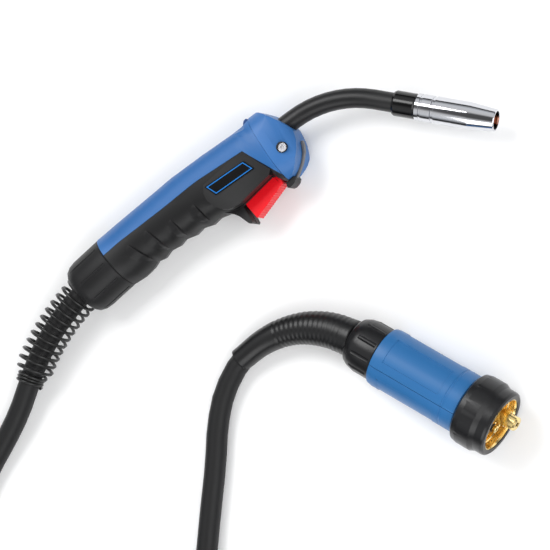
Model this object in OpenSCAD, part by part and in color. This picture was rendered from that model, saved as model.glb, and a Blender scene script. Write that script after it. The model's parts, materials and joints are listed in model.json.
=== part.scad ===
// MIG welding torch with its lead and central plug, laid down flat.
// The handle runs along X with its nose at +X and its top at +Y. The torch lies on its left side.

/* [Neck and nozzle] */
// Angle that the swan neck turns through, in degrees
neck_bend = 45; // [30:1:50]
// Radius of the neck's bend, at its centre line
neck_radius = 72; // [60:1:80]
// Outer diameter of the neck's black sleeve
neck_d = 12.9; // [12.6:0.1:13.2]
// Outer diameter of the gas nozzle
nozzle_d = 17.5; // [17.2:0.1:18]
// Length of the gas nozzle
nozzle_len = 53; // [50:1:58]
// Bore at the nozzle's mouth
nozzle_mouth = 12; // [11.4:0.1:12.4]
// Bore of the contact tip, for 1 mm wire
tip_bore = 1.2; // [1.0:0.1:1.4]

/* [Handle] */
// Wall of the four handle shells
wall = 2.4; // [2:0.1:2.8]
// Height that the trigger's grip stands below the slot
trigger_drop = 10.4; // [8:0.2:11]
// Width of the trigger
trigger_w = 12.6; // [10:0.2:13]
// Outer diameter of the rear cable nut
cable_nut_d = 37.5; // [36:0.5:40]
// Length of the rear cable nut
cable_nut_len = 31; // [28:1:34]

/* [Support spring] */
// Mean radius of the open turns
spring_r = 12; // [11:0.1:12.4]
// Radius of the spring wire
spring_wire_r = 1.05; // [0.8:0.05:1.2]
// Number of open turns
spring_turns = 12; // [10:1:13]

/* [Lead] */
// Outer diameter of the lead
lead_d = 14.2; // [13.6:0.1:14.4]
// Mean radius of the coiled lead
coil_r = 71.5; // [71:0.5:74]

/* [Plug] */
// Outer diameter of the hand nut over its ridges
hand_nut_d = 48; // [46:1:50]
// Outer diameter of the two plug shells
plug_d = 40; // [38:1:41]
// Bore of the brass thread ring
ring_bore = 34; // [33.6:0.1:34.2]

/* [Hidden] */

// Frame: where the row's origin lies in the handle's own frame
origin_x = 79.5;
origin_y = -28.3;
axis_z = cable_nut_d / 2;
round_fn = 64;
small_fn = 32;
lead_r = lead_d / 2;
drill = 0.5;              // how far a cutter runs past the face that it cuts

// Neck: it leaves the nose along X, bends down, and runs straight to the collar
neck_y = 6;
bend_x = 151;
neck_straight = 13.5;
neck_end = [bend_x + neck_radius * sin(neck_bend) + neck_straight * cos(neck_bend),
    neck_y - neck_radius * (1 - cos(neck_bend)) - neck_straight * sin(neck_bend)];
neck_r = neck_d / 2;
core_r = 5;
core_bore = 3.4;
liner_r = 2.4;

// Handle outline: height of the top, the underside and the parting line, and half the width
top_line = [[0, 18.8], [14, 19.8], [43, 21.2], [62, 22.3], [88, 21.9], [112, 20.9], [121, 20.9],
    [127, 22.7], [131, 23.4], [134, 22.8], [138, 18.4], [142.4, 12.5], [146, 5.5], [148.4, 0]];
under_line = [[0, -18.8], [9.5, -19.5], [17.7, -18.4], [23, -16.3], [28, -17.4], [34, -15.4],
    [41, -16.6], [46, -15.2], [54, -17.2], [60, -16.1], [67, -18.4], [73, -17.4], [79.6, -19],
    [84, -21], [89, -23], [94, -23], [121.5, -18.6], [124, -23.6], [127, -25.7], [131, -25.1],
    [138.8, -20.5], [143.8, -15], [146.6, -8.8], [148.4, -2.5]];
side_line = [[0, 17.9], [30, 17.2], [60, 17], [90, 17.6], [115, 18.1], [130, 17.8], [137, 16.4],
    [143, 13.9], [146.5, 11], [148.4, 8]];
square_line = [[0, 2.1], [50, 2.4], [90, 3], [120, 3.2], [148.4, 2.8]];
part_line = [[0, 4.4], [12, 5.7], [47, 6.3], [77, 7.5], [104, 5.8], [115, 5.1], [137, -41.4]];
nose_from = 127.7;
shell_x = [-2.6, 4.5, 9.5, 14, 17.7, 20.5, 23, 25.5, 28, 31, 34, 37.5, 41, 43.5, 46, 50, 54, 57, 60,
    63.5, 67, 70, 73, 79.6, 84, 89, 94, 103, 112, 115, 118, 121.5, 124, 125.8, 127.6];
side_steps = 8;
seam = 0.1;               // half the gap left along each joint between shells

// Trigger, its pivot and its slot
pivot = [121.5, -16.4];
trigger_pin_r = 1.5;
slot_x = [93.4, 124];
slot_half = 7;
plunger_x = 102;
plunger_r = 1.3;

// Front screw
screw_at = [138, -8];

// Cable nut and the spring behind it
nut_turn = 5.95;
spring_arc_r = 164;
spring_arc_from = 9;
spring_len = 74;
spring_start = [-30.7, -3.2];
spring_fall = 4.8;
closed_turns = 3;
closed_pitch = 2.2;

// The lead: from the spring to the coil, and from the plug to the coil
torch_route = [[-115, -41, 11.6], [-134, -50, 9], [-153, -58, 7.6], [-172, -69, 7.1],
    [-191, -83, 7.1], [-209, -101, 7.1], [-228, -125, 7.1], [-244, -147, 7.1]];
plug_route = [[93, -117, 15.6], [75, -104, 13.6], [53, -98, 11.3], [31, -99, 8.8],
    [10, -109, 7.2], [-6, -124, 7.1], [-22, -145, 7.1], [-42, -168, 7.1], [-61, -191, 7.8],
    [-80, -214, 10.8], [-98, -238, 15.6], [-110, -254, 19.4]];
coil_at = [-191, -220];
coil_turn = -36;          // turn of the coil's first half turn about Z
coil_pitch = lead_d + 0.1;
coil_out = coil_r + coil_pitch;

// Plug: its face looks along its own +X, a little upwards
plug_at = [155.5, -233.7];
plug_turn = -63;
plug_rise = 3.9;
plug_z = 25.35;
face_x = -12;
tube_at = [5.2, 1];
nipple_at = [-5, -4.6];
pin_at = [[-4.4, 7.3], [-8.7, 0.7]];
shell_front = -25.4;
shell_rear = -90.4;
seam_turn = 20;
plug_rear = -113;

// ---------- placing ----------

module at_torch() translate([-origin_x, -origin_y, axis_z]) children();

module at_neck() at_torch() translate(neck_end) rotate([0, 0, -neck_bend]) children();

module at_nut() at_torch() rotate([0, 0, nut_turn]) children();

module at_plug() translate([plug_at[0] - origin_x, plug_at[1] - origin_y, plug_z])
    rotate([0, 0, plug_turn]) rotate([0, -plug_rise, 0]) children();

// ---------- shapes that repeat ----------

// A rod along X
module rod(r, from, to, fn = round_fn) translate([from, 0, 0]) rotate([0, 90, 0])
    cylinder(r = r, h = to - from, $fn = fn);

// A body turned about X, from an outline of [radius, x] points
module turned(outline, fn = round_fn) rotate([0, 90, 0]) rotate_extrude($fn = fn) polygon(outline);

// Triangles that join rings of m points each into a closed skin
function skin_faces(n, m) = concat(
    [[for (j = [0:m - 1]) j]],
    [for (i = [0:n - 2], j = [0:m - 1]) [i * m + j, (i + 1) * m + j, (i + 1) * m + (j + 1) % m]],
    [for (i = [0:n - 2], j = [0:m - 1]) [i * m + j, (i + 1) * m + (j + 1) % m, i * m + (j + 1) % m]],
    [[for (j = [m - 1:-1:0]) (n - 1) * m + j]]);

module skin(rings) {
    points = [for (ring = rings, p = ring) p];
    polyhedron(points, skin_faces(len(rings), len(rings[0])), convexity = 8);
}

function unit(v) = v / norm(v);
function ahead(path, i) = unit(path[min(i + 1, len(path) - 1)] - path[max(i - 1, 0)]);

// A round tube through the points of a path, with its own radius at each
module swept(path, radii, sides) skin([for (i = [0:len(path) - 1])
    let (t = ahead(path, i), s = unit(cross(t, [0, 0, 1])), u = cross(s, t), r = radii[i])
    [for (j = [0:sides - 1]) let (a = 360 * (j + 0.5) / sides)
        path[i] + r * cos(a) * s - r * sin(a) * u]]);

// Centre line of the neck, from x on the handle to past the collar's rear
bend_step = 5;
function neck_path(from, past) = concat([[from, neck_y, 0]],
    [for (a = [0:bend_step:neck_bend]) [bend_x + neck_radius * sin(a),
        neck_y - neck_radius * (1 - cos(a)), 0]],
    [[neck_end[0] + past * cos(neck_bend), neck_end[1] - past * sin(neck_bend), 0]]);

neck_sides = 20;
module bent_rod(r, from, past) {
    path = neck_path(from, past);
    swept(path, [for (p = path) r], neck_sides);
}

module bent_tube(outer, bore, from, past) difference() {
    bent_rod(outer, from, past);
    bent_rod(bore, from - drill, past + drill);
}

// ---------- handle shells ----------

// Half the width at height y of the section at x, drawn in by inset
function half_width(x, y, inset) = let (
    hi = lookup(x, top_line) - inset,
    lo = lookup(x, under_line) + inset,
    n = lookup(x, square_line),
    u = min(1, abs(2 * y - hi - lo) / (hi - lo)))
    (lookup(x, side_line) - inset) * pow(1 - pow(u, n), 1 / n);

// Points down one side of the section at x, between two heights, never past the middle joint
function side_points(x, from, to, inset) = [for (i = [0:side_steps])
    let (y = (from + to) / 2 - (to - from) / 2 * cos(180 * i / side_steps))
    [x, y, max(seam, half_width(x, y, inset))]];

function reversed(v) = [for (i = [len(v) - 1:-1:0]) v[i]];

// The shell's wall between two heights as a closed ring
function wall_ring(x, low, high) = let (
    hi = lookup(x, top_line),
    lo = lookup(x, under_line))
    concat(
        side_points(x, max(low, lo + wall), min(high, hi - wall), wall),
        reversed(side_points(x, max(low, lo), min(high, hi), 0)));

function parting(x) = lookup(x, part_line);

module upper_shell() difference() {
    skin([for (x = shell_x) wall_ring(x, parting(x) + seam, 99)]);
    behind_nut_face();
}

module lower_shell() difference() {
    skin([for (x = shell_x) wall_ring(x, -99, parting(x) - seam)]);
    behind_nut_face();
}

// The shells end in the slanting plane that the cable nut closes against
module behind_nut_face() rotate([0, 0, nut_turn]) translate([-20, -40, -5]) cube([20, 80, 30]);

// Solid nose that the two housing halves end in: its side outline cut to its plan outline
module nose_block() difference() {
    intersection() {
        translate([0, 0, seam]) linear_extrude(20) polygon([[nose_from, -25.4], [131, -25.1],
            [135, -23.2], [138.8, -20.5], [142, -17.3], [143.8, -14.6], [145.6, -11.2],
            [146.8, -8], [147.7, -4.4], [148.2, -0.8], [146.6, 4], [142.4, 12.5], [138.6, 18],
            [136, 21.2], [133.8, 22.9], [131.6, 23.5], [nose_from, 22.9]]);
        rotate([90, 0, 0]) translate([0, 0, -30]) linear_extrude(60) polygon([[nose_from, 0],
            [nose_from, 17.6], [134, 17.2], [139, 16], [143, 14], [146, 11.4], [148.4, 7.6],
            [149, 0]]);
        rotate([90, 0, 90]) linear_extrude(160) polygon([[-26, 0], [-26, 6], [-24.5, 9.6],
            [-21.5, 13], [-17, 15.6], [-11, 17.2], [-4, 17.9], [4, 17.9], [11, 16.9], [16, 15],
            [20, 11.8], [22.4, 8], [23.6, 4], [23.8, 0]]);
    }
    neck_hole();
    screw_hole();
}

module screw_hole() translate(concat(screw_at, [-1])) {
    cylinder(r = 1.6, h = 30, $fn = small_fn);
    translate([0, 0, 13.4]) cylinder(r = 3.6, h = 10, $fn = small_fn);
}

module neck_hole() translate([0, neck_y, 0]) rod(neck_r + 0.2, 120, 160, 48);

module housing_half() {
    upper_shell();
    nose_block();
}

// The hooked guard behind the trigger
module trigger_guard() translate([0, 0, 0.6]) linear_extrude(7.6) polygon([[80.3, -18.6],
    [84.4, -21.4], [87.6, -26.2], [90.2, -33.2], [91.6, -34.6], [92.6, -34], [93.2, -29],
    [93.3, -21.4]]);

// The flat cheek beside the trigger, which carries the name plate
module cheek() translate([0, 0, 11]) linear_extrude(7.1) polygon([[81.2, 2.4], [78.4, -1.6], [77.6, -6.4],
    [79.2, -12.4], [82.6, -17.4], [87.6, -20.8], [94, -21.8], [108, -19.8], [121.3, -17.9],
    [124.2, -15.2], [121.2, -9.1], [117.6, -1.4], [114.6, 4.3], [104, 4.7]]);

module grip_half() difference() {
    union() {
        lower_shell();
        trigger_guard();
        cheek();
    }
    translate([slot_x[0], -40, -1]) cube([slot_x[1] - slot_x[0], 26, slot_half + 1]);
    translate(concat(pivot, [-1])) cylinder(r = trigger_pin_r + 0.05, h = 12.4, $fn = small_fn);
    translate(concat(pivot, [-1])) cylinder(r = 2.8, h = 10.3, $fn = small_fn);
}

// The name plate, with no lettering, stuck on the side
module label() translate([98.4, -4.2, 18.15]) linear_extrude(0.5)
    polygon([[-17, 4.8], [-13.6, -3.8], [17.4, -4.6], [14, 3.6]]);

module housing_right() color([0.30, 0.51, 0.75]) at_torch() housing_half();

module housing_left() color([0.30, 0.51, 0.75]) at_torch() mirror([0, 0, 1]) housing_half();

module grip_right() color([0.2, 0.2, 0.2]) at_torch() grip_half();

module grip_left() color([0.2, 0.2, 0.2]) at_torch() mirror([0, 0, 1]) grip_half();

module label_right() color([0.06, 0.06, 0.07]) at_torch() label();

module label_left() color([0.06, 0.06, 0.07]) at_torch() mirror([0, 0, 1]) label();

module front_screw() color("silver") at_torch() translate(concat(screw_at, [0])) difference() {
    union() {
        translate([0, 0, -10]) cylinder(r = 1.5, h = 24.6, $fn = small_fn);
        translate([0, 0, 14.5]) cylinder(r = 2.9, h = 1.7, $fn = small_fn);
    }
    translate([0, 0, 15.2]) cylinder(r = 1.3, h = 2, $fn = 6);
}

module screw_nut() color("silver") at_torch() translate([screw_at[0], screw_at[1], -17]) difference() {
    cylinder(r = 3.1, h = 2.4, $fn = 6);
    translate([0, 0, -1]) cylinder(r = 1.56, h = 5, $fn = small_fn);
}

// ---------- trigger and switch ----------

teeth = 16;
pull_from = [96.2, pivot[1] - trigger_drop - 6.4];
pull_to = [123.4, -24.6];

module trigger() color([0.92, 0.13, 0.18]) at_torch() difference() {
    translate([0, 0, -trigger_w / 2]) linear_extrude(trigger_w) polygon(concat(
        [for (i = [0:2 * teeth]) let (p = pull_from + (pull_to - pull_from) * i / (2 * teeth))
            [p[0], p[1] - (i % 2) * 0.5]],
        [[124, -20], [124.6, -16.4], [123.4, -13.9], [119, -14.2], [104, -17], [95.2, -17.7],
            [94.8, -23.2]]));
    translate(concat(pivot, [-20])) cylinder(r = trigger_pin_r + 0.06, h = 40, $fn = small_fn);
}

module trigger_pin() color("silver") at_torch() translate(concat(pivot, [-11]))
    cylinder(r = trigger_pin_r, h = 22, $fn = small_fn);

// Torsion spring beside the trigger's hub
module trigger_spring() color("gainsboro") at_torch() {
    for (i = [0:2]) translate([pivot[0], pivot[1], 6.8 + i * 0.8]) rotate_extrude($fn = small_fn)
        translate([2.1, 0]) circle(0.42, $fn = 16);
    translate([pivot[0] - 13, pivot[1] + 2.1, 6.8]) rotate([0, 90, 0]) cylinder(r = 0.4, h = 13, $fn = 16);
}

module switch_body() color([0.12, 0.12, 0.13]) at_torch() difference() {
    translate([97, -12.4, -3.2]) cube([20, 9.2, 6.4]);
    for (x = [101.6, 112.4]) translate([x, -5.2, -5]) cylinder(r = 1.1, h = 10, $fn = small_fn);
    translate([plunger_x, -13, 0]) rotate([-90, 0, 0])
        cylinder(r = plunger_r + 0.07, h = 6.4, $fn = small_fn);
}

module switch_plunger() color([0.85, 0.2, 0.15]) at_torch() translate([plunger_x, -16.5, 0])
    rotate([-90, 0, 0]) cylinder(r = plunger_r, h = 6.4, $fn = small_fn);

module switch_leads() color([0.7, 0.1, 0.1]) at_torch() for (side = [-1, 1])
    translate([66, -6.5, side * 1.7]) rotate([0, 90, 0]) cylinder(r = 0.8, h = 30.9, $fn = 16);

// ---------- neck, from the handle to the nozzle ----------

module neck_sleeve() color([0.16, 0.16, 0.16]) at_torch() bent_tube(neck_r, core_r + 0.1, 137, 3);

module neck_tube() color([0.85, 0.65, 0.25]) at_torch() bent_tube(core_r, core_bore, 94, 23.8);

module wire_liner() color("gray") at_torch() bent_rod(liner_r, 63, 33.8);

// Split block that holds the neck in the nose
module neck_clamp() color([0.25, 0.25, 0.26]) at_torch() translate([0, neck_y, 0]) difference() {
    rod(9, 108, 126);
    rod(core_r + 0.05, 107, 127);
}

module neck_nut() color([0.85, 0.65, 0.25]) at_torch() translate([0, neck_y, 0]) difference() {
    translate([88, 0, 0]) rotate([0, 90, 0]) cylinder(r = 7.5, h = 14, $fn = 6);
    rod(core_r + 0.05, 87, 103);
}

module cable_adapter() color([0.85, 0.65, 0.25]) at_torch() translate([0, neck_y, 0])
    turned([[liner_r + 0.1, 62], [4.6, 62], [4.6, 70], [6.5, 70.5], [6.5, 86], [core_r, 86],
        [core_r, 93.8], [liner_r + 0.1, 93.8]]);

module neck_collar() color([0.05, 0.05, 0.05]) at_neck()
    turned([[neck_r + 0.05, 0], [7.7, 0], [8.3, 1.2], [8.3, 14.2], [7.9, 15], [6.1, 15], [6.1, 25],
        [core_r + 0.05, 25], [core_r + 0.05, 3.2], [neck_r + 0.05, 3.2]]);

// Wire spring on the insulator that grips the nozzle from inside
module nozzle_spring() color("silver") at_neck() for (i = [0:4])
    translate([16.4 + i * 1.7, 0, 0]) rotate([0, 90, 0]) rotate_extrude($fn = small_fn)
        translate([6.66, 0]) circle(0.5, $fn = 16);

module tip_holder() color([0.85, 0.65, 0.25]) at_neck() difference() {
    turned([[liner_r + 0.1, 20], [core_bore - 0.1, 20], [core_bore - 0.1, 25.2], [5.5, 25.2], [5.5, 39],
        [4.2, 43.8], [3.05, 43.8], [3.05, 34.4], [liner_r + 0.1, 34.4]]);
    for (a = [0:90:270]) rotate([a, 0, 0]) translate([29, 0, 0]) cylinder(r = 0.9, h = 9, $fn = small_fn);
}

module contact_tip() color([0.8, 0.45, 0.3]) at_neck()
    turned([[tip_bore / 2, 34.6], [2.95, 34.6], [2.95, 44], [4, 44], [4, 60], [2.6, 66],
        [tip_bore / 2, 66]]);

module gas_nozzle() color([0.8, 0.8, 0.83]) at_neck() let (r = nozzle_d / 2, rear = 15.1,
    front = rear + nozzle_len)
    turned([[7.5, rear], [r - 0.6, rear], [r, rear + 0.6], [r, rear + 3], [r - 0.5, rear + 3.3],
        [r - 0.5, rear + 4.3], [r, rear + 4.6], [r, rear + 11], [r - 0.6, rear + 11.3],
        [r - 0.6, rear + 12.9], [r, rear + 13.2], [r, rear + 35], [r - 0.25, rear + 38],
        [7.15, front - 0.4], [6.9, front], [nozzle_mouth / 2, front],
        [nozzle_mouth / 2, front - 5], [7.5, rear + 32]], 96);

// ---------- rear of the handle ----------

module cable_end() color([0.13, 0.13, 0.13]) at_nut() difference() {
    rod(lead_r, -30.8, 58);
    rod(liner_r + 0.1, -32, 60);
}

module cable_clamp() color([0.3, 0.3, 0.3]) at_nut()
    turned([[lead_r + 0.05, -26], [9.4, -26], [11.3, -20], [11.3, -6], [lead_r + 0.05, -6]]);

module cable_nut() color([0.17, 0.17, 0.17]) at_nut() let (r = cable_nut_d / 2, rear = -cable_nut_len)
    difference() {
        turned([[14.4, -0.3], [r - 0.5, -0.3], [r, -0.9], [r, rear + 9], [r - 0.6, rear + 5],
            [r - 2.2, rear + 1.6], [r - 4.2, rear], [13.7, rear], [13.7, rear + 2.4], [9.6, rear + 2.4],
            [9.6, rear + 5.5], [11.5, rear + 11], [14.4, rear + 12.5]]);
        for (i = [0:8]) rotate([i * 40, 0, 0]) translate([rear + 4, 0, r + 0.25])
            rotate([0, 90, 0]) cylinder(r = 0.85, h = cable_nut_len - 7, $fn = 24);
    }

// Centre line of the spring, s millimetres behind the cable nut
function spring_axis(s) = let (a = spring_arc_from + s / spring_arc_r * 180 / PI) [
    spring_start[0] - spring_arc_r * (sin(a) - sin(spring_arc_from)),
    spring_start[1] - spring_arc_r * (cos(spring_arc_from) - cos(a)),
    -spring_fall * pow(max(0, s) / spring_len, 2)];
function spring_way(s) = let (a = spring_arc_from + s / spring_arc_r * 180 / PI) [-cos(a), -sin(a), 0];

wire_steps = 14;
wire_sides = 6;
closed_len = closed_turns * closed_pitch;
function wire_s(turn) = turn < spring_turns ? -1.2 + turn * (spring_len - closed_len) / spring_turns
    : -1.2 + spring_len - closed_len + (turn - spring_turns) * closed_pitch;
function wire_r(turn) = turn < spring_turns - 1 ? spring_r
    : spring_r + (lead_r + spring_wire_r + 0.25 - spring_r) * min(1, (turn - spring_turns + 1) / 1.5);

module support_spring() color([0.1, 0.1, 0.1]) at_torch() skin([
    for (i = [0:(spring_turns + closed_turns) * wire_steps])
    let (turn = i / wire_steps, s = wire_s(turn), a = 360 * turn, way = spring_way(s),
        side = [-way[1], way[0], 0], out = cos(a) * side + [0, 0, sin(a)])
    [for (j = [0:wire_sides - 1]) let (b = -360 * j / wire_sides)
        spring_axis(s) + out * (wire_r(turn) + spring_wire_r * cos(b)) + way * spring_wire_r * sin(b)]]);

// ---------- lead ----------

module torch_lead() color([0.1, 0.1, 0.1]) {
    inside = [for (s = [0:12:72]) spring_axis(s) + [0, 0, axis_z]];
    path = concat(inside, torch_route, [[coil_at[0] - coil_out * cos(coil_turn),
        coil_at[1] - coil_out * sin(coil_turn), lead_r]]);
    translate([-origin_x, -origin_y, 0]) swept(path, [for (p = path) lead_r], 8);
}

module plug_lead() color([0.1, 0.1, 0.1]) {
    end = [coil_at[0] + coil_out * cos(coil_turn), coil_at[1] + coil_out * sin(coil_turn),
        lead_r + coil_pitch];
    path = concat([for (i = [3:len(plug_route) - 1]) plug_route[i]], [end]);
    translate([-origin_x, -origin_y, 0]) swept(path, [for (p = path) lead_r], 8);
}

// Outer shape of the coil: three turns across and two high
module lead_coil() color([0.1, 0.1, 0.1])
    translate([coil_at[0] - origin_x, coil_at[1] - origin_y, 0]) rotate_extrude($fn = 96) {
        inner = coil_r - coil_pitch - lead_r;
        outer = coil_out + lead_r;
        high = lead_d + coil_pitch;
        polygon([[inner, 4], [inner + 4, 0], [outer - 4, 0], [outer, 4], [outer, high - 4],
            [outer - 4, high], [inner + 4, high], [inner, high - 4]]);
    }

// Two flat ties round the coil's section
module coil_ties() color([0.05, 0.05, 0.05]) for (turn = [60, 240])
    translate([coil_at[0] - origin_x, coil_at[1] - origin_y, 0]) rotate([0, 0, turn]) {
        inner = coil_r - coil_pitch - lead_r;
        wide = 2 * (coil_pitch + lead_r);
        high = lead_d + coil_pitch;
        translate([inner - 1.4, -4, 0]) cube([1.3, 8, high + 1.4]);
        translate([inner + wide + 0.1, -4, 0]) cube([1.3, 8, high + 1.4]);
        translate([inner - 1.4, -4, high + 0.1]) cube([wide + 2.8, 8, 1.3]);
    }

// ---------- plug ----------

module plug_shell_half() rotate([0, 90, 0]) rotate([0, 0, 180]) rotate_extrude(angle = 179, $fn = 96)
    let (r = plug_d / 2, f = shell_front, b = shell_rear)
    polygon([[16.5, f], [r - 0.4, f], [r, f - 0.6], [r, f - 9], [r - 0.35, f - 9.2], [r - 0.35, f - 10.4],
        [r, f - 10.6], [r, b + 3], [r - 0.5, b], [9.5, b], [9.5, b + 4], [17.4, b + 4],
        [17.4, f - 12], [12.3, f - 12], [12.3, f - 8], [17.4, f - 8], [17.4, f - 4.9], [16.5, f - 4.9]]);

// Shallow panels let into each half
module shell_panels() for (middle = [45, 135]) rotate([0, 90, 0]) rotate([0, 0, 180 + middle - 27])
    rotate_extrude(angle = 54, $fn = 96) let (r = plug_d / 2)
        polygon([[r - 0.35, shell_front - 15], [r + 1, shell_front - 15], [r + 1, shell_rear + 8],
            [r - 0.35, shell_rear + 8]]);

module shell_half() difference() {
    plug_shell_half();
    shell_panels();
}

module screw_place() for (x = [shell_front - 18, shell_rear + 12]) rotate([seam_turn, 0, 0])
    translate([x, 0, -14.4]) rotate([90, 0, 0]) children();

module plug_shell_a() color([0.26, 0.52, 0.75]) at_plug() difference() {
    rotate([seam_turn + 0.5, 0, 0]) shell_half();
    screw_place() translate([0, 0, -16]) cylinder(r = 1.3, h = 40, $fn = small_fn);
}

module plug_shell_b() color([0.26, 0.52, 0.75]) at_plug() difference() {
    rotate([seam_turn + 180.5, 0, 0]) shell_half();
    screw_place() translate([0, 0, -16]) cylinder(r = 1.3, h = 40, $fn = small_fn);
}

module shell_screws() color("silver") at_plug() screw_place() translate([0, 0, -9])
    cylinder(r = 1.2, h = 18, $fn = small_fn);

module face_hole(at, r, from, to) translate([0, at[0], at[1]]) rod(r, from, to, small_fn);

module pin_block() color([0.9, 0.68, 0.28]) at_plug() difference() {
    union() {
        rod(16.2, -30, face_x);
        rod(12, -46, -30);
    }
    face_hole(tube_at, 4.05, -50, 0);
    face_hole(nipple_at, 1.8, -50, 0);
    for (at = pin_at) {
        face_hole(at, 3.04, -24.1, 0);
        face_hole(at, 2.1, -36, 0);
    }
    difference() {
        rod(17, -19.8, -18.5);
        rod(15.4, -20, -18);
    }
}

module thread_ring() color([0.9, 0.68, 0.28]) at_plug() let (r = ring_bore / 2)
    turned(concat([[18, -0.6], [18, -17.4], [r, -17.4]],
        [for (i = [0:3]) each [[r, -15.6 + i * 3], [r + 0.5, -15 + i * 3], [r + 0.5, -14.4 + i * 3],
            [r, -13.8 + i * 3]]], [[r, -2], [r + 0.5, -0.6]]), 96);

module hand_nut() color([0.15, 0.15, 0.16]) at_plug() difference() {
    turned([[18.06, -0.2], [20.8, 0], [22, -0.8], [22.4, -2.2], [22.4, -7.2], [22.8, -8], [hand_nut_d / 2, -10.5],
        [hand_nut_d / 2, -20], [23.2, -23.6], [21.2, -25.1], [16.28, -25.1], [16.28, -20.2],
        [18.06, -20.2]], 96);
    for (i = [0:11]) rotate([i * 30 + 15, 0, 0]) translate([-30, 0, 28.7]) rotate([0, 86, 0])
        cylinder(r = 5.6, h = 24, $fn = 48);
}

module nut_circlip() color("silver") at_plug() difference() {
    turned([[15.5, -19.7], [17.5, -19.7], [17.5, -18.6], [15.5, -18.6]]);
    translate([-30, -3, 8]) cube([30, 6, 12]);
}

module centre_tube() color([0.9, 0.68, 0.28]) at_plug() translate([0, tube_at[0], tube_at[1]])
    turned([[2.6, -44], [4, -44], [4, face_x + 0.05], [6.5, face_x + 0.05], [6.5, face_x + 3], [5.4, face_x + 3.6],
        [5.4, 1.8], [2.6, 1.8]], 48);

module liner_nut() color([0.9, 0.68, 0.28]) at_plug() translate([0, tube_at[0], tube_at[1]])
    difference() {
        turned([[2, 1.9], [4.8, 1.9], [5.1, 2.4], [5.1, 8], [4, 9.2], [2.6, 9.2], [2, 8.6]], 48);
        for (side = [-1, 1]) translate([3.2, side * 6.4 - 2, -6]) cube([7, 4, 12]);
    }

module gas_nipple() color([0.9, 0.68, 0.28]) at_plug() translate([0, nipple_at[0], nipple_at[1]])
    turned([[1.1, -40], [1.75, -40], [1.75, face_x + 0.05], [3.4, face_x + 0.05], [3.4, face_x + 2.4],
        [2.5, face_x + 2.8], [2.5, -6.6], [2, -6.4], [2, -5.2], [2.5, -5], [2.5, -3.4], [2.2, -3],
        [1.1, -3]], 48);

module nipple_o_ring() color([0.05, 0.05, 0.05]) at_plug() translate([-5.8, nipple_at[0], nipple_at[1]])
    rotate([0, 90, 0]) rotate_extrude($fn = small_fn) translate([2.55, 0]) circle(0.5, $fn = 16);

module pin_bushes() color([0.08, 0.08, 0.08]) at_plug() for (at = pin_at)
    translate([0, at[0], at[1]]) turned([[1.06, -24], [3, -24], [3, face_x], [2.3, face_x],
        [2.3, face_x - 3], [1.06, face_x - 3]], small_fn);

module control_pin(at) color([0.9, 0.68, 0.28]) at_plug() translate([0, at[0], at[1]])
    turned([[0, -33.5], [1, -33.5], [1, -25.4], [1.9, -25.4], [1.9, -24.3], [1, -24.3], [1, -11.5],
        [0.6, -11], [0, -11]], small_fn);

module control_pin_a() control_pin(pin_at[0]);

module control_pin_b() control_pin(pin_at[1]);

module pin_springs() color("silver") at_plug() for (at = pin_at, i = [0:6])
    translate([-35.2 + i * 1.2, at[0], at[1]]) rotate([0, 90, 0]) rotate_extrude($fn = 24)
        translate([1.55, 0]) circle(0.25, $fn = 13);

module plug_rear_nut() color([0.15, 0.15, 0.16]) at_plug() difference() {
    turned([[15, -90.6], [17.4, -90.6], [18, -91.4], [18, -103], [17, -108], [15.2, -111.6],
        [13.4, plug_rear], [9.2, plug_rear], [9.2, -104], [15, -102]]);
    for (i = [0:9]) rotate([i * 36 + 18, 0, 0]) translate([-106, 0, 18.7]) rotate([0, 90, 0])
        cylinder(r = 1.7, h = 13.4, $fn = 24);
}

module plug_cable_end() color([0.13, 0.13, 0.13]) at_plug() difference() {
    rod(lead_r, plug_rear, -54);
    rod(liner_r + 0.1, plug_rear - 1, -53);
}

module plug_ferrule() color([0.9, 0.68, 0.28]) at_plug()
    turned([[liner_r + 0.1, -53.8], [6.8, -53.8], [6.8, -48], [4.9, -46.2], [liner_r + 0.1, -46.2]]);

// Bend boot: it starts on the rear nut's axis and follows the lead round
module plug_boot() color([0.08, 0.08, 0.08]) {
    start = [plug_at[0] + plug_rear * cos(plug_turn), plug_at[1] + plug_rear * sin(plug_turn),
        plug_z + plug_rear * sin(plug_rise)];
    path = concat([start], [for (i = [0:3]) plug_route[i]]);
    fine = [for (i = [0:len(path) - 2], f = [0, 0.5]) path[i] * (1 - f) + path[i + 1] * f];
    translate([-origin_x, -origin_y, 0]) swept(path, [12.6, 12.2, 11.2, 10.2, 8.7], 16);
}

gas_nozzle();
nozzle_spring();
contact_tip();
tip_holder();
neck_collar();
neck_sleeve();
neck_tube();
wire_liner();
housing_right();
housing_left();
grip_right();
grip_left();
front_screw();
screw_nut();
label_right();
label_left();
trigger();
trigger_pin();
trigger_spring();
switch_body();
switch_plunger();
switch_leads();
neck_clamp();
neck_nut();
cable_adapter();
cable_end();
cable_nut();
cable_clamp();
support_spring();
torch_lead();
lead_coil();
plug_lead();
coil_ties();
plug_shell_a();
plug_shell_b();
shell_screws();
pin_block();
hand_nut();
thread_ring();
nut_circlip();
centre_tube();
liner_nut();
gas_nipple();
nipple_o_ring();
pin_bushes();
control_pin_a();
control_pin_b();
pin_springs();
plug_rear_nut();
plug_boot();
plug_cable_end();
plug_ferrule();
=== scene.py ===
import bmesh
import bpy
import json
import math
from mathutils import Matrix, Vector
from mathutils.bvhtree import BVHTree

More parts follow.
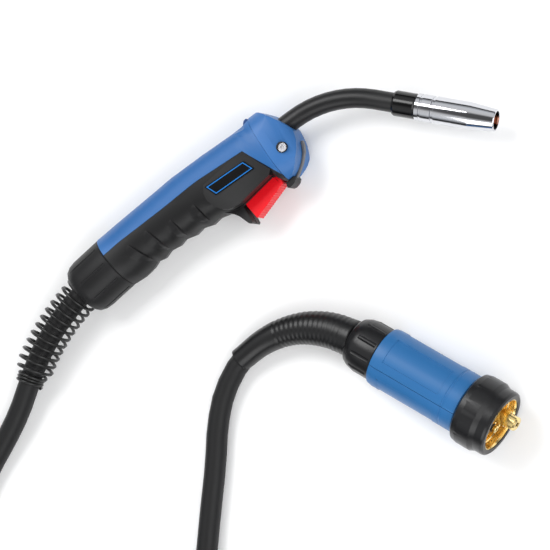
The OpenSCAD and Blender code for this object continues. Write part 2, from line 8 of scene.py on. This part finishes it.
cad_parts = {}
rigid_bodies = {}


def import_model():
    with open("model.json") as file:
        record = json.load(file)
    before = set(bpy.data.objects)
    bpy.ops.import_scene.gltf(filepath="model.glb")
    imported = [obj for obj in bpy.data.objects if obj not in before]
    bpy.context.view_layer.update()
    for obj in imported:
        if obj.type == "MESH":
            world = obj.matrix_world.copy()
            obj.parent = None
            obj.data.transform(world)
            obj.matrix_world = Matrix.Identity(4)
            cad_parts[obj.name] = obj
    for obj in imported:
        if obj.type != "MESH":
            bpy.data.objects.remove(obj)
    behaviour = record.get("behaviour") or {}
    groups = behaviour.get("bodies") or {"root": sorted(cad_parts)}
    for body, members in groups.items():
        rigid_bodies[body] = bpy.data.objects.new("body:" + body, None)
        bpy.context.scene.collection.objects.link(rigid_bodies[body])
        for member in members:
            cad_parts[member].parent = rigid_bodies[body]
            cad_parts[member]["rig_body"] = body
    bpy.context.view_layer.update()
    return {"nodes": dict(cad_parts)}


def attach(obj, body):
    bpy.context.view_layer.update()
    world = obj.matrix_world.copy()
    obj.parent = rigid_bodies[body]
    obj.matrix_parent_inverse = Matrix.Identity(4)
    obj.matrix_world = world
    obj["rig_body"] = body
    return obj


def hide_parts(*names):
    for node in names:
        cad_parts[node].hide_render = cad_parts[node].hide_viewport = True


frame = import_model()


# ---- Camera, floor and light ----
# The torch lies on its side on a pale bench. The camera looks down from a little to the front of
# the plug, through a long lens, and three soft lamps light the part as in a studio.
origin_x, origin_y = 0.0795, -0.0283      # the row's origin, in the handle's own frame


def from_handle(x, y, z=0.0):
    """A point given in the handle's own frame, in millimetres, as a point of the row."""
    return Vector((x / 1000 - origin_x, y / 1000 - origin_y, z / 1000))


roll = math.radians(34.4)
right = Vector((math.cos(roll), -math.sin(roll), 0))
down = Vector((-math.sin(roll), -math.cos(roll), 0))
aim = from_handle(81.9, -67.1, 21) + down * 0.0006 + right * 0.0035
back = Vector((0.25, -0.2, 0.947)).normalized()
distance = 2.4
view_width = 0.3525                       # what the picture takes in at the aim, in metres
camera_data = bpy.data.cameras.new("camera")
camera_data.sensor_width = 36
camera_data.lens = camera_data.sensor_width * distance / view_width
camera = bpy.data.objects.new("camera", camera_data)
bpy.context.scene.collection.objects.link(camera)
across_view = (-down).cross(back).normalized()
up_view = back.cross(across_view).normalized()
camera.matrix_world = Matrix((
    (across_view.x, up_view.x, back.x, aim.x + back.x * distance),
    (across_view.y, up_view.y, back.y, aim.y + back.y * distance),
    (across_view.z, up_view.z, back.z, aim.z + back.z * distance),
    (0, 0, 0, 1)))
bpy.context.scene.camera = camera
bpy.context.scene.view_settings.view_transform = "Standard"

bench_mesh = bmesh.new()
bmesh.ops.create_grid(bench_mesh, x_segments=1, y_segments=1, size=6)
bench_data = bpy.data.meshes.new("floor")
bench_mesh.to_mesh(bench_data)
bench_mesh.free()
bench = bpy.data.objects.new("floor", bench_data)
bpy.context.scene.collection.objects.link(bench)
bench_paint = bpy.data.materials.new("floor_paint")
bench_paint.use_nodes = True
bench_shader = bench_paint.node_tree.nodes["Principled BSDF"]
bench_shader.inputs["Base Color"].default_value = (0.97, 0.97, 0.97, 1)
bench_shader.inputs["Roughness"].default_value = 0.9
bench_data.materials.append(bench_paint)


def lamp(name, place, size, power):
    """A soft square lamp that looks at the middle of the torch."""
    data = bpy.data.lights.new(name, "AREA")
    data.size = size
    data.energy = power
    light = bpy.data.objects.new(name, data)
    light.location = place
    light.rotation_euler = (aim - Vector(place)).to_track_quat("-Z", "Y").to_euler()
    bpy.context.scene.collection.objects.link(light)


lamp("key", aim + right * -0.7 - down * 0.9 + Vector((0, 0, 1.5)), 1.0, 20)
lamp("fill", aim + right * 1.0 + down * 0.3 + Vector((0, 0, 1.2)), 1.2, 9)
lamp("front", aim + down * 1.1 + Vector((0, 0, 0.9)), 0.9, 6)

# The room is dark at the horizon and straight overhead, which gives the chrome its dark bands
room = bpy.data.worlds.new("studio")
room.use_nodes = True
room_nodes, room_wires = room.node_tree.nodes, room.node_tree.links
room_place = room_nodes.new("ShaderNodeTexCoord")
room_split = room_nodes.new("ShaderNodeSeparateXYZ")
room_ramp = room_nodes.new("ShaderNodeValToRGB")
room_ramp.color_ramp.elements[0].position = 0.12
room_ramp.color_ramp.elements[0].color = (0.03, 0.03, 0.03, 1)
room_ramp.color_ramp.elements[1].position = 0.5
room_ramp.color_ramp.elements[1].color = (0.95, 0.97, 1, 1)
for height, level in ((0.86, 0.9), (0.955, 0.12)):
    room_ramp.color_ramp.elements.new(height).color = (level, level, level, 1)
room_wires.new(room_place.outputs["Generated"], room_split.inputs["Vector"])
room_wires.new(room_split.outputs["Z"], room_ramp.inputs["Fac"])
room_wires.new(room_ramp.outputs["Color"], room_nodes["Background"].inputs["Color"])
room_nodes["Background"].inputs["Strength"].default_value = 0.85
bpy.context.scene.world = room


# ---- Lead ----
# One rubber-jacketed hose package, 14.2 mm thick and about 3 m long. It leaves the support spring,
# lies on the bench, is wound five and a half times into a coil, and ends in the plug's bend boot.
lead_r = 0.0071
axis_z = 18.75                            # height of the handle's axis over the bench, in millimetres
spring_start = (-30.7, -3.2)              # where the support spring's centre line leaves the cable nut
spring_turn_r = 164                       # how it curves, in millimetres
spring_slant = math.radians(9)
spring_len = 74
spring_sink = 4.8                         # how far it comes down along its length


def spring_axis(s):
    """Centre line inside the support spring, s millimetres behind the cable nut."""
    a = spring_slant + s / spring_turn_r
    return from_handle(
        spring_start[0] - spring_turn_r * (math.sin(a) - math.sin(spring_slant)),
        spring_start[1] - spring_turn_r * (math.cos(spring_slant) - math.cos(a)),
        axis_z - spring_sink * (s / spring_len) ** 2)


torch_route = [(-115, -41, 11.6), (-134, -50, 9), (-153, -58, 7.6), (-172, -69, 7.1),
               (-191, -83, 7.1), (-209, -101, 7.1), (-228, -125, 7.1), (-244, -147, 7.1)]
plug_route = [(93, -117, 15.6), (75, -104, 13.6), (53, -98, 11.3), (31, -99, 8.8),
              (10, -109, 7.2), (-6, -124, 7.1), (-22, -145, 7.1), (-42, -168, 7.1),
              (-61, -191, 7.8), (-80, -214, 10.8), (-98, -238, 15.6), (-110, -254, 19.4)]
plug_face = (155.5, -233.7, 25.35)        # middle of the plug's face, in the handle's own frame
plug_way = (-0.4540, 0.8910, -0.0680)     # from the face to the plug's rear end
plug_len = 113
boot_start = from_handle(*(face + plug_len * way for face, way in zip(plug_face, plug_way)))

coil_centre = from_handle(-191, -220)
coil_zero = math.radians(-36)
coil_r = 0.0715                           # middle ring of the winding
coil_pitch = 0.0143
coil_turns = 5.5
coil_steps = 32
ring_outer, ring_inner = coil_r + coil_pitch, coil_r - coil_pitch
rings = [ring_outer, coil_r, ring_inner, ring_inner, coil_r, ring_outer]
layer_low, layer_high = lead_r, lead_r + coil_pitch


def ease(t):
    """A smooth step from 0 to 1."""
    t = min(1, max(0, t))
    return t * t * (3 - 2 * t)


def coil_point(turns):
    """A point of the winding: three rings inwards on the bench, then three back out on top."""
    k = min(int(turns), 5)
    part = turns - k
    r = rings[k] if k in (0, 3) else rings[k - 1] + (rings[k] - rings[k - 1]) * ease(part * 4)
    z = layer_low if k < 2 else layer_high
    if k == 2:
        z = layer_low + (layer_high - layer_low) * ease((part - 0.75) * 4)
    a = coil_zero + math.pi + 2 * math.pi * turns
    return coil_centre + Vector((r * math.cos(a), r * math.sin(a), z))


def smooth_path(points, rounds):
    """Chaikin's corner cutting, which keeps the two ends."""
    for _ in range(rounds):
        cut = [points[0]]
        for a, b in zip(points, points[1:]):
            cut += [a.lerp(b, 0.25), a.lerp(b, 0.75)]
        points = cut + [points[-1]]
    return points


lead_route = [spring_axis(s) for s in range(0, spring_len, 12)]
lead_route += [from_handle(*p) for p in torch_route]
lead_route += [coil_point(i / coil_steps) for i in range(int(coil_turns * coil_steps) + 1)]
lead_route += [from_handle(*p) for p in reversed(plug_route)]
lead_route += [boot_start]
lead_path = smooth_path(lead_route, 1)
lead_curve = bpy.data.curves.new("welding_lead", "CURVE")
lead_curve.dimensions = "3D"
lead_curve.bevel_depth = lead_r
lead_curve.bevel_resolution = 6
lead_curve.use_fill_caps = True
lead_line = lead_curve.splines.new("POLY")
lead_line.points.add(len(lead_path) - 1)
for point, place in zip(lead_line.points, lead_path):
    point.co = (*place, 1)
lead_line.use_smooth = True
lead = bpy.data.objects.new("welding_lead", lead_curve)
bpy.context.scene.collection.objects.link(lead)

# Surface marks, on object coordinates: a fine grain, slow blotches, and a mask of the raised edges
marks_group = bpy.data.node_groups.new("surface_marks", "ShaderNodeTree")
for label, value in (("Grain Size", 2500.0), ("Blotch Size", 40.0)):
    socket = marks_group.interface.new_socket(name=label, in_out="INPUT", socket_type="NodeSocketFloat")
    socket.default_value = value
for label in ("Grain", "Blotch", "Edge"):
    marks_group.interface.new_socket(name=label, in_out="OUTPUT", socket_type="NodeSocketFloat")
marks_in = marks_group.nodes.new("NodeGroupInput")
marks_out = marks_group.nodes.new("NodeGroupOutput")
marks_wires = marks_group.links
marks_place = marks_group.nodes.new("ShaderNodeTexCoord")
for label, detail in (("Grain", 3), ("Blotch", 4)):
    noise = marks_group.nodes.new("ShaderNodeTexNoise")
    noise.inputs["Detail"].default_value = detail
    marks_wires.new(marks_place.outputs["Object"], noise.inputs["Vector"])
    marks_wires.new(marks_in.outputs[label + " Size"], noise.inputs["Scale"])
    marks_wires.new(noise.outputs["Fac"], marks_out.inputs[label])
edge_shape = marks_group.nodes.new("ShaderNodeNewGeometry")
edge_range = marks_group.nodes.new("ShaderNodeMapRange")
edge_range.inputs["From Min"].default_value = 0.53
edge_range.inputs["From Max"].default_value = 0.62
marks_wires.new(edge_shape.outputs["Pointiness"], edge_range.inputs["Value"])
marks_wires.new(edge_range.outputs["Result"], marks_out.inputs["Edge"])


def finish(name, colour, roughness, metallic=0.0, grain_size=2500.0, blotch_size=40.0, drift=0.08,
           wear=0.25, bump=0.08, rough_spread=0.08, coat=0.0, gleam=0.5):
    """A finish with grain, slow drift of colour and gloss, and paler edges."""
    paint = bpy.data.materials.new(name)
    paint.use_nodes = True
    nodes, wires = paint.node_tree.nodes, paint.node_tree.links
    shader = nodes["Principled BSDF"]
    shader.inputs["Metallic"].default_value = metallic
    shader.inputs["Coat Weight"].default_value = coat
    shader.inputs["Specular IOR Level"].default_value = gleam
    marks = nodes.new("ShaderNodeGroup")
    marks.node_tree = marks_group
    marks.inputs["Grain Size"].default_value = grain_size
    marks.inputs["Blotch Size"].default_value = blotch_size
    tone = nodes.new("ShaderNodeMix")
    tone.data_type = "RGBA"
    tone.inputs["A"].default_value = [c * (1 - drift) for c in colour] + [1]
    tone.inputs["B"].default_value = [min(1, c * (1 + drift)) for c in colour] + [1]
    wires.new(marks.outputs["Blotch"], tone.inputs["Factor"])
    worn = nodes.new("ShaderNodeMix")
    worn.data_type = "RGBA"
    worn.inputs["B"].default_value = [min(1, c * 1.4 + 0.04) for c in colour] + [1]
    amount = nodes.new("ShaderNodeMath")
    amount.operation = "MULTIPLY"
    amount.inputs[1].default_value = wear
    wires.new(marks.outputs["Edge"], amount.inputs[0])
    wires.new(amount.outputs[0], worn.inputs["Factor"])
    wires.new(tone.outputs["Result"], worn.inputs["A"])
    wires.new(worn.outputs["Result"], shader.inputs["Base Color"])
    gloss = nodes.new("ShaderNodeMapRange")
    gloss.inputs["To Min"].default_value = roughness - rough_spread
    gloss.inputs["To Max"].default_value = roughness + rough_spread
    wires.new(marks.outputs["Blotch"], gloss.inputs["Value"])
    wires.new(gloss.outputs["Result"], shader.inputs["Roughness"])
    relief = nodes.new("ShaderNodeBump")
    relief.inputs["Strength"].default_value = bump
    relief.inputs["Distance"].default_value = 0.0002
    wires.new(marks.outputs["Grain"], relief.inputs["Height"])
    wires.new(relief.outputs["Normal"], shader.inputs["Normal"])
    return paint


def linear(red, green, blue):
    """A colour given as it looks on screen, as the shader's linear values."""
    return [((c / 255 + 0.055) / 1.055) ** 2.4 for c in (red, green, blue)]


def dress(paint, *names):
    """Gives CAD nodes a finish as they are."""
    for name in names:
        data = frame["nodes"][name].data
        data.materials.clear()
        data.materials.append(paint)


jacket = finish("lead_jacket", linear(20, 20, 21), 0.5, gleam=0.3, grain_size=1800, bump=0.15, wear=0.1)
lead_curve.materials.append(jacket)
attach(lead, "torch")
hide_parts("torch_lead", "lead_coil", "plug_lead")
dress(jacket, "cable_end", "plug_cable_end")


# ---- Coil ties ----
# Two flat straps of woven black cloth hold the wound turns together, on opposite sides of the
# coil. Each goes over the turns and down both sides to the bench.
tie_cloth = finish("tie_cloth", linear(22, 22, 24), 0.85, grain_size=4000, bump=0.4, wear=0.05)
dress(tie_cloth, "coil_ties")


# ---- Neck ----
# The swan neck is a brass conductor tube with the steel wire liner in it, bent and slid into a
# black sleeve. A brass nut and adapter join it to the lead inside the handle.
def smooth_copy(node, paint, angle, bevel=0.0):
    """The CAD node's own shape, shaded smooth over edges that turn less than angle, riding on its body."""
    source = frame["nodes"][node]
    shape = bmesh.new()
    shape.from_mesh(source.data)
    bmesh.ops.remove_doubles(shape, verts=shape.verts, dist=0.00001)
    bmesh.ops.dissolve_limit(shape, angle_limit=math.radians(1.0), verts=shape.verts, edges=shape.edges)
    bmesh.ops.triangulate(shape, faces=[f for f in shape.faces if len(f.verts) > 4])
    for face in shape.faces:
        face.smooth = True
    for edge in shape.edges:
        edge.smooth = edge.calc_face_angle(0.0) < math.radians(angle)
    data = bpy.data.meshes.new(node + "_finished")
    shape.to_mesh(data)
    shape.free()
    data.materials.append(paint)
    piece = bpy.data.objects.new(node + "_finished", data)
    bpy.context.scene.collection.objects.link(piece)
    if bevel:
        rounding = piece.modifiers.new("rounding", "BEVEL")
        rounding.width = bevel
        rounding.segments = 2
        rounding.limit_method = "ANGLE"
        rounding.angle_limit = math.radians(angle)
        rounding.harden_normals = True
    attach(piece, source["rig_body"])
    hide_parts(node)
    return piece


sleeve_black = finish("sleeve_black", linear(22, 22, 23), 0.38, gleam=0.3, grain_size=1500, bump=0.12)
smooth_copy("neck_sleeve", sleeve_black, angle=40)
brass = finish("turned_brass", linear(224, 170, 82), 0.26, metallic=1.0, grain_size=1600, bump=0.04,
               drift=0.1)
dress(brass, "neck_tube", "neck_nut", "cable_adapter")
steel = finish("zinc_steel", linear(200, 200, 205), 0.28, metallic=1.0, grain_size=2200, bump=0.05)
dress(steel, "wire_liner")


# ---- Contact tip and its holder ----
# A turned copper tip that the wire runs through. It screws into a brass holder, which is drilled
# round its side for the gas.
tip_copper = finish("tip_copper", linear(200, 120, 80), 0.3, metallic=1.0, bump=0.03)
smooth_copy("contact_tip", tip_copper, angle=25)
dress(brass, "tip_holder")


# ---- Gas nozzle, its spring and the neck's collar ----
# The nozzle is copper, drawn to a narrower mouth and chromed. It pushes on over a steel spring
# that grips it, up to a gloss black insulating collar.
chrome = finish("nozzle_chrome", linear(205, 206, 210), 0.09, metallic=1.0, grain_size=900,
                blotch_size=90, drift=0.05, wear=0.1, bump=0.02, rough_spread=0.04)
smooth_copy("gas_nozzle", chrome, angle=25)
collar_gloss = finish("collar_gloss", linear(6, 6, 7), 0.18, gleam=0.3, wear=0.1, bump=0.03, coat=0.3)
smooth_copy("neck_collar", collar_gloss, angle=25)
dress(steel, "nozzle_spring")


# ---- Trigger and switch ----
# The trigger is a red moulding on a blackened pin. It presses the red plunger of a small black
# switch in the handle, and a spring returns it.
trigger_red = finish("trigger_red", linear(240, 14, 30), 0.36, gleam=0.3, grain_size=2600, bump=0.06,
                     wear=0.2)
smooth_copy("trigger", trigger_red, bevel=0.0004, angle=30)
dress(trigger_red, "switch_plunger")
pin_dark = finish("blackened_steel", linear(26, 26, 27), 0.4, metallic=0.4, bump=0.04)
dress(pin_dark, "trigger_pin", "trigger_spring")
switch_black = finish("switch_black", linear(34, 34, 36), 0.5)
dress(switch_black, "switch_body")
wire_red = finish("wire_red", linear(170, 30, 30), 0.4)
dress(wire_red, "switch_leads")


# ---- Housing and grip halves ----
# Two blue housing halves form the back and nose of the handle, and two black grip halves its
# belly. They are injection moulded with a fine satin texture, and close on the parts inside.
handle_blue = finish("handle_blue", linear(41, 97, 157), 0.42, gleam=0.32, grain_size=3200, blotch_size=30,
                     drift=0.04, wear=0.35, bump=0.1)
grip_black = finish("grip_black", linear(22, 22, 23), 0.42, gleam=0.25, grain_size=2600, blotch_size=35,
                    drift=0.1, wear=0.3, bump=0.16)
for side in ("right", "left"):
    smooth_copy("housing_" + side, handle_blue, angle=32)
    smooth_copy("grip_" + side, grip_black, angle=32)
dress(grip_black, "neck_clamp", "cable_clamp")


# ---- Name plates ----
# A dark foil plate is stuck on each side of the handle. It is blank, with a thin blue printed
# border a little inside its edge.
label_foil = finish("label_foil", linear(6, 6, 8), 0.3, gleam=0.12, grain_size=5000, bump=0.02, wear=0.0)
dress(label_foil, "label_right", "label_left")
border_blue = finish("label_border", linear(0, 110, 190), 0.35, gleam=0.3, grain_size=5000, bump=0.02,
                     wear=0.0)
border_middle = (98.4, -4.2)
border_corners = [(-17, 4.8), (-13.6, -3.8), (17.4, -4.6), (14, 3.6)]
border_shrink = (0.94, 0.86)              # of the plate's own corners, so that it stays inside its edge
border_off_axis = 18.7                    # 0.05 mm past the plate's face
border_width = 0.0006
border_height = 0.00012


def add_piece(name, shape, paint, body):
    """Makes an object of a bmesh, with outward faces, riding on a body."""
    bmesh.ops.recalc_face_normals(shape, faces=shape.faces)
    data = bpy.data.meshes.new(name)
    shape.to_mesh(data)
    shape.free()
    data.materials.append(paint)
    piece = bpy.data.objects.new(name, data)
    bpy.context.scene.collection.objects.link(piece)
    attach(piece, body)
    return piece


for side, outward in (("right", 1), ("left", -1)):
    shape = bmesh.new()
    corners = [shape.verts.new(from_handle(border_middle[0] + x * border_shrink[0],
                                           border_middle[1] + y * border_shrink[1],
                                           axis_z + outward * border_off_axis))
               for x, y in border_corners]
    face = shape.faces.new(corners)
    face.normal_update()
    bmesh.ops.inset_individual(shape, faces=[face], thickness=border_width, use_even_offset=True)
    bmesh.ops.delete(shape, geom=[face], context="FACES_ONLY")
    raised = bmesh.ops.extrude_face_region(shape, geom=list(shape.faces))
    tops = [v for v in raised["geom"] if isinstance(v, bmesh.types.BMVert)]
    bmesh.ops.translate(shape, vec=(0, 0, outward * border_height), verts=tops)
    add_piece("label_border_" + side, shape, border_blue, "torch")


# ---- Front screw and its well ----
# One steel screw and nut close the nose. Its head sits in a round well, lined with a ring turned from
# a thin profile with a rolled rim; the ring's dark blackened steel is painted shade of the recess.
dress(steel, "front_screw", "screw_nut")
screw_at = from_handle(138, -8, 0)
well_profile = [(3.0, 13.5), (3.58, 13.5), (3.58, 17.35), (3.4, 17.5), (3.1, 17.3), (3.0, 16.8)]
well = bmesh.new()
profile = [well.verts.new(screw_at + Vector((r / 1000, 0, (z + axis_z) / 1000))) for r, z in well_profile]
edges = [well.edges.new(ends) for ends in zip(profile, profile[1:] + profile[:1])]
bmesh.ops.spin(well, geom=profile + edges, cent=screw_at, axis=(0, 0, 1), dvec=(0, 0, 0),
               angle=2 * math.pi, steps=48, use_merge=True)
for face in well.faces:
    face.smooth = True
# The ring is dark only as painted shade in the recess round the screw head.
add_piece("screw_recess_shade_ring", well, pin_dark, "torch")


# ---- Edge strip, lip and thumb tab ----
# Three small mouldings: a grey strip let into the front edge of the nose, a black lip behind it
# under the nose, and a blue tab on the hump. Each is an outline raised to its width, with soft edges.
def plate(name, outline, half_width, paint, rounding):
    """A flat moulding: an outline in the handle's own frame, raised on both sides of the axis."""
    shape = bmesh.new()
    corners = [shape.verts.new(from_handle(x, y, axis_z - half_width)) for x, y in outline]
    raised = bmesh.ops.extrude_face_region(shape, geom=[shape.faces.new(corners)])
    tops = [v for v in raised["geom"] if isinstance(v, bmesh.types.BMVert)]
    bmesh.ops.translate(shape, vec=(0, 0, 2 * half_width / 1000), verts=tops)
    bmesh.ops.bevel(shape, geom=list(shape.edges), offset=rounding, affect="EDGES", segments=2,
                    profile=0.5, material=-1)
    add_piece(name, shape, paint, "torch")


edge_grey = finish("edge_grey", linear(96, 96, 98), 0.4, bump=0.05)
plate("nose_edge_strip", [(146.9, -8.6), (148.3, -8.9), (147.3, -12.2), (145.2, -15.9), (140, -21.2),
                          (134.2, -25.3), (131.4, -26.7), (130.6, -25.6), (133.8, -23.9),
                          (139, -20.3), (144, -15)], 1.8, edge_grey, 0.0003)
plate("nose_lip", [(131.6, -25.2), (131.9, -27.4), (129.6, -29.3), (125.8, -30.1), (123.9, -29.4),
                   (124.1, -27.6), (125.4, -25.8)], 6.4, grip_black, 0.0006)
tab_blue = finish("tab_blue", linear(30, 74, 132), 0.45, gleam=0.3, bump=0.06)
plate("thumb_tab", [(121.2, 20.4), (121.5, 22.3), (123.4, 24.2), (125.6, 24.6), (126.2, 22.0)],
      4.5, tab_blue, 0.0008)


# ---- Finger ridges ----
# Four crescent ridges are moulded into each flank of the grip. Each is a fine grid laid on the
# flank and lifted off it: a long ramp up from behind, and a short drop in front.
ridge_lines = [((17.4, 0.5), (24, -15.8), 0.8), ((32.6, 1.5), (36.4, -15.4), 1.2),
               ((50, -2.5), (51.6, -15.6), 1.0), ((68.8, -3.5), (69.9, -17), 0.8)]
ridge_width = 9
ridge_height = 1.6
ridge_sink = 0.06                         # how deep the sheet's rim lies in the grip, in millimetres
ramp_share = 0.9                          # of the width; the drop has the rest


def finger_ridge(name, flank, outward, top_end, low_end, bow):
    """One ridge, whose front edge bows forward between its two ends."""
    shape = bmesh.new()
    bmesh.ops.create_grid(shape, x_segments=28, y_segments=24, size=1)
    for v in shape.verts:
        across, along_line = (v.co.x + 1) / 2, (v.co.y + 1) / 2
        swell = math.sin(math.pi * min(1, max(0, along_line))) ** 0.8
        ramp = across / ramp_share if across < ramp_share else (1 - across) / (1 - ramp_share)
        edge_x = top_end[0] + (low_end[0] - top_end[0]) * along_line + bow * swell
        x = edge_x - ridge_width * (1 - across) * (0.25 + 0.75 * swell)
        y = top_end[1] + (low_end[1] - top_end[1]) * along_line
        clear_of_grip = from_handle(x, y, axis_z + outward * 60)
        hit, normal, _, _ = flank.ray_cast(clear_of_grip, Vector((0, 0, -outward)))
        v.co = hit + normal * (ridge_height * swell * ramp ** 1.6 - ridge_sink) / 1000
    for face in shape.faces:
        face.smooth = True
    ridge = add_piece(name, shape, grip_black, "torch")
    if max(ridge.data.polygons, key=lambda f: f.area).normal.z * outward < 0:
        ridge.data.flip_normals()


for side, outward in (("right", 1), ("left", -1)):
    probe = bmesh.new()
    probe.from_mesh(bpy.data.objects["grip_" + side + "_finished"].data)
    flank = BVHTree.FromBMesh(probe)
    probe.free()
    for number, line in enumerate(ridge_lines, 1):
        finger_ridge("finger_ridge_%d_%s" % (number, side), flank, outward, *line)


# ---- Cable nut and support spring ----
# A ribbed black nut closes the handle's rear end round the lead. A spring of black wire stands in
# it and closes on the lead further back, and keeps it from kinking.
smooth_copy("cable_nut", grip_black, angle=30)
spring_black = finish("spring_black", linear(20, 20, 20), 0.33, metallic=0.3, grain_size=1400, bump=0.05)
smooth_copy("support_spring", spring_black, angle=70)


# ---- Plug shells ----
# Two blue half shells close round the plug's inner parts, and two screws hold them together.
# They are moulded like the handle, a shade darker.
plug_blue = finish("plug_blue", linear(36, 100, 156), 0.38, gleam=0.35, grain_size=3000, blotch_size=30,
                   drift=0.05, wear=0.4, bump=0.08)
for half in ("a", "b"):
    smooth_copy("plug_shell_" + half, plug_blue, bevel=0.0003, angle=30)
dress(steel, "shell_screws")


# ---- Hand nut and rear nut ----
# Two gloss black mouldings. The hand nut turns freely round the plug's front end, held by a
# circlip, and the rear nut closes the shells' rear end round the bend boot.
plug_black = finish("plug_black", linear(19, 19, 21), 0.3, gleam=0.35, grain_size=1800, bump=0.06, wear=0.3)
smooth_copy("hand_nut", plug_black, bevel=0.0003, angle=11)
smooth_copy("plug_rear_nut", plug_black, bevel=0.0004, angle=24)
dress(steel, "nut_circlip")


# ---- Brass face of the plug ----
# The thread ring is fixed in the hand nut. The block carries the centre tube with its liner nut, the
# gas nipple with its O-ring, and two sprung contact pins in black bushes. The ring, block, tube,
# nut, nipple and pins are turned from brass.
plug_brass = finish("plug_brass", linear(250, 216, 148), 0.22, metallic=1.0, grain_size=1300,
                    blotch_size=120, drift=0.12, wear=0.2, bump=0.03)
for name in ("thread_ring", "pin_block", "centre_tube", "liner_nut", "gas_nipple"):
    smooth_copy(name, plug_brass, angle=25)
dress(plug_brass, "control_pin_a", "control_pin_b")
dress(switch_black, "pin_bushes")
dress(steel, "pin_springs")
dress(brass, "plug_ferrule")


# ---- Bend boot ----
# A rubber sleeve keeps the lead from kinking behind the plug. It is a round skin along the lead
# that gets thinner towards its end, with fine rings on the part next to the plug.
boot_rubber = finish("boot_rubber", linear(18, 18, 19), 0.32, gleam=0.35, grain_size=1500, bump=0.08)
dress(boot_rubber, "nipple_o_ring")
boot_r = 0.0122
boot_taper = 0.0042
boot_rings, boot_sides = 90, 40
rib_depth = 0.00035
rib_first, rib_last = 0.04, 0.62          # as shares of the boot's length
rib_count = 26                            # over the whole length, if the ribs went on
bench_gap = 0.0002
boot_path = smooth_path([boot_start] + [from_handle(*p) for p in plug_route[:4]], 3)
boot_spans = [0.0]
for a, b in zip(boot_path, boot_path[1:]):
    boot_spans.append(boot_spans[-1] + (b - a).length)


def boot_place(s):
    """The point and direction of the boot's centre line, s metres from the plug."""
    for i in range(len(boot_path) - 1):
        if boot_spans[i + 1] >= s or i == len(boot_path) - 2:
            way = (boot_path[i + 1] - boot_path[i]).normalized()
            return boot_path[i] + way * (s - boot_spans[i]), way


boot_mesh = bmesh.new()
loops = []
for i in range(boot_rings):
    t = i / (boot_rings - 1)
    centre, way = boot_place(t * boot_spans[-1])
    sideways = way.cross(Vector((0, 0, 1))).normalized()
    upwards = sideways.cross(way)
    radius = boot_r - boot_taper * ease(t)
    if rib_first < t < rib_last:
        radius -= rib_depth * (1 + math.cos(2 * math.pi * t * rib_count)) / 2
    radius = min(radius, centre.z - bench_gap)
    ring = bmesh.ops.create_circle(boot_mesh, cap_ends=False, segments=boot_sides, radius=radius)["verts"]
    bmesh.ops.transform(boot_mesh, verts=ring, matrix=Matrix((
        (sideways.x, upwards.x, way.x, centre.x),
        (sideways.y, upwards.y, way.y, centre.y),
        (sideways.z, upwards.z, way.z, centre.z),
        (0, 0, 0, 1))))
    loops.append([e for e in boot_mesh.edges if e.verts[0] in ring and e.verts[1] in ring])
for first, second in zip(loops, loops[1:]):
    bmesh.ops.bridge_loops(boot_mesh, edges=first + second)
bmesh.ops.holes_fill(boot_mesh, edges=boot_mesh.edges, sides=0)
for face in boot_mesh.faces:
    face.smooth = True
boot = add_piece("bend_boot", boot_mesh, boot_rubber, "torch")
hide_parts("plug_boot")


# ---- The lead as a cord ----
# The lead runs from the support spring to the plug. The plug's parts and the coil ties, which lie on
# the lead, are gathered in one list.
plug_pieces = [boot] + [bpy.data.objects[name + "_finished"] for name in (
    "centre_tube", "gas_nipple", "hand_nut", "liner_nut", "pin_block", "plug_rear_nut",
    "plug_shell_a", "plug_shell_b", "thread_ring")]
plug_pieces += [frame["nodes"][name] for name in (
    "coil_ties", "shell_screws", "nut_circlip", "nipple_o_ring", "pin_bushes", "control_pin_a",
    "control_pin_b", "pin_springs", "plug_cable_end", "plug_ferrule")]
